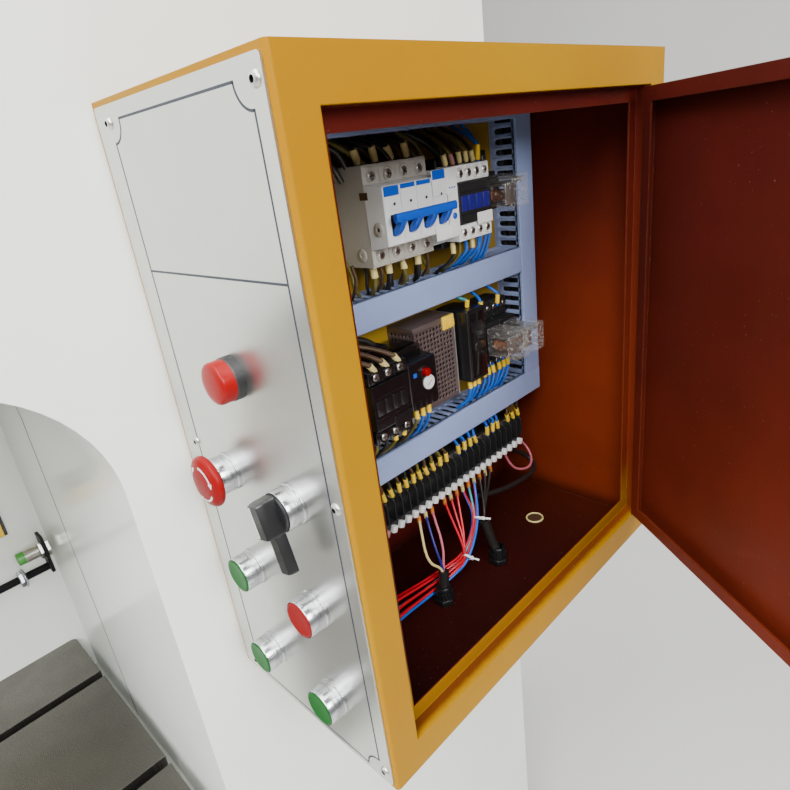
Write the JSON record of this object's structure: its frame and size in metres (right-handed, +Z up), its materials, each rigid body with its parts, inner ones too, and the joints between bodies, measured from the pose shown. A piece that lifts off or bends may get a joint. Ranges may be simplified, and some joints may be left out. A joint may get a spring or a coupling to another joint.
{
  "type": "c-frame hydraulic press",
  "caption": "C-frame hydraulic press: open throat with guided ram over a slotted table, tank and motor behind, and a side control cabinet with its inset door open.",
  "frame": {"origin": "on the floor at the centre of the four anchor holes", "axes": "+Z up, -Y towards the operator, +X towards the side with the control cabinet"},
  "size_m": [1.024, 0.952, 1.961],
  "materials": {
    "frame_paint": "satin off-white enamel",
    "cabinet_yellow": "semi-gloss yellow enamel",
    "primer_red": "dull red-brown primer",
    "plate_ochre": "yellow passivated steel",
    "panel_aluminium": "brushed",
    "ground_steel": "ground, lightly oiled",
    "dark_steel": "blackened",
    "chrome": "polished",
    "bronze": "machined",
    "cast_grey": "painted grey",
    "motor_blue": "semi-gloss blue-grey",
    "block_steel": "milled",
    "black_plastic": "matte",
    "grey_plastic": "matte",
    "duct_plastic": "matte blue-grey",
    "blue_plastic": "gloss",
    "red_plastic": "gloss",
    "green_plastic": "gloss",
    "clear_plastic": "clear smoked",
    "wire_black": "PVC insulation"
  },
  "bodies": {
    "frame": {"base_plate": "frame_paint", "side_plate_left": "frame_paint", "side_plate_right": "frame_paint", "head_cover": "frame_paint", "bed_plates": "frame_paint", "cylinder_mount_plate": "frame_paint", "throat_liner": "frame_paint", "guard_panel": "frame_paint", "rear_cover": "frame_paint", "oil_tank": "frame_paint", "tank_lid": "frame_paint", "work_table": "ground_steel", "frame_bolts": "dark_steel", "cylinder_barrel": "cast_grey", "ram_bushes": "bronze", "sensor_arm": "dark_steel", "proximity_sensor": "chrome", "motor_housing": "motor_blue", "bell_housing": "cast_grey", "fan_cover": "motor_blue", "gear_pump": "cast_grey", "valve_manifold": "block_steel", "solenoid_valve": "cast_grey", "pressure_gauge": "chrome", "hydraulic_pipes": "dark_steel", "level_gauge": "black_plastic", "cabinet_shell": "cabinet_yellow", "hinge_pins": "dark_steel", "mounting_plate": "plate_ochre", "operator_panel": "panel_aluminium", "button_bezels": "chrome", "pilot_lamp": "red_plastic", "wiring_ducts": "duct_plastic", "breaker_body": "grey_plastic", "contactors": "black_plastic", "overload_relay": "black_plastic", "power_supply": "block_steel", "relay_sockets": "black_plastic", "plug_relays": "clear_plastic", "terminal_strip": "black_plastic", "cable_glands": "black_plastic", "wires": "wire_black"},
    "ram": {"piston_rod": "chrome", "ram_plate": "ground_steel", "guide_rods": "chrome", "stroke_flag": "dark_steel"},
    "door": {"cabinet_door": "cabinet_yellow"},
    "latch": {"door_latch": "chrome"},
    "stop_head": {"emergency_stop": "red_plastic"},
    "selector": {"selector_lever": "black_plastic"},
    "start_cap": {"start_button": "green_plastic"},
    "stop_cap": {"stop_button": "red_plastic"},
    "down_cap": {"down_button": "green_plastic"},
    "return_cap": {"return_button": "green_plastic"},
    "breaker_toggle": {"breaker_handle": "blue_plastic"},
    "reset_pin": {"overload_reset": "red_plastic"},
    "rotor": {"motor_rotor": "dark_steel"},
    "needle": {"gauge_needle": "black_plastic"},
    "relief": {"relief_knob": "black_plastic"},
    "filler": {"filler_cap": "black_plastic"}
  },
  "joints": [
    {"name": "ram_slide", "type": "slide", "parent": "frame", "child": "ram", "axis": [0, 0, -1], "range_m": [0, 0.3]},
    {"name": "door_hinge", "type": "hinge", "parent": "frame", "child": "door", "pos_m": [0.4417, 0.4282, 1.185], "axis": [0, 0, 1], "range_deg": [-55.5, 60]},
    {"name": "latch_turn", "type": "hinge", "parent": "door", "child": "latch", "pos_m": [0.72486, 0.22668, 1.185], "axis": [0.5664, 0.8241, 0], "range_deg": [0, 90]},
    {"name": "emergency_push", "type": "slide", "parent": "frame", "child": "stop_head", "axis": [0, 1, 0], "range_m": [0, 0.005], "stiffness_N_per_m": 600},
    {"name": "selector_turn", "type": "hinge", "parent": "frame", "child": "selector", "pos_m": [0.38, 0.028, 1.172], "axis": [0, 1, 0], "range_deg": [-45, 45]},
    {"name": "start_push", "type": "slide", "parent": "frame", "child": "start_cap", "axis": [0, 1, 0], "range_m": [0, 0.004], "stiffness_N_per_m": 500},
    {"name": "stop_push", "type": "slide", "parent": "frame", "child": "stop_cap", "axis": [0, 1, 0], "range_m": [0, 0.004], "stiffness_N_per_m": 500},
    {"name": "down_push", "type": "slide", "parent": "frame", "child": "down_cap", "axis": [0, 1, 0], "range_m": [0, 0.004], "stiffness_N_per_m": 500},
    {"name": "return_push", "type": "slide", "parent": "frame", "child": "return_cap", "axis": [0, 1, 0], "range_m": [0, 0.004], "stiffness_N_per_m": 500},
    {"name": "breaker_throw", "type": "hinge", "parent": "frame", "child": "breaker_toggle", "pos_m": [0.341, 0.209, 1.321], "axis": [0, 1, 0], "range_deg": [0, 48]},
    {"name": "reset_push", "type": "slide", "parent": "frame", "child": "reset_pin", "axis": [-1, 0, 0], "range_m": [0, 0.0025], "stiffness_N_per_m": 300},
    {"name": "rotor_spin", "type": "hinge", "parent": "frame", "child": "rotor", "pos_m": [0.085, 0.35, 1.56], "axis": [0, 0, 1], "continuous": true},
    {"name": "needle_turn", "type": "hinge", "parent": "frame", "child": "needle", "pos_m": [0.0895, 0.16, 1.616], "axis": [-1, 0, 0], "range_deg": [0, 240], "stiffness_Nm_per_rad": 0.002},
    {"name": "relief_turn", "type": "hinge", "parent": "frame", "child": "relief", "pos_m": [0, 0.2364, 1.605], "axis": [0, 1, 0], "range_deg": [-180, 180]},
    {"name": "filler_turn", "type": "hinge", "parent": "frame", "child": "filler", "pos_m": [-0.11, 0.39, 1.56], "axis": [0, 0, 1], "range_deg": [0, 90]}
  ]
}
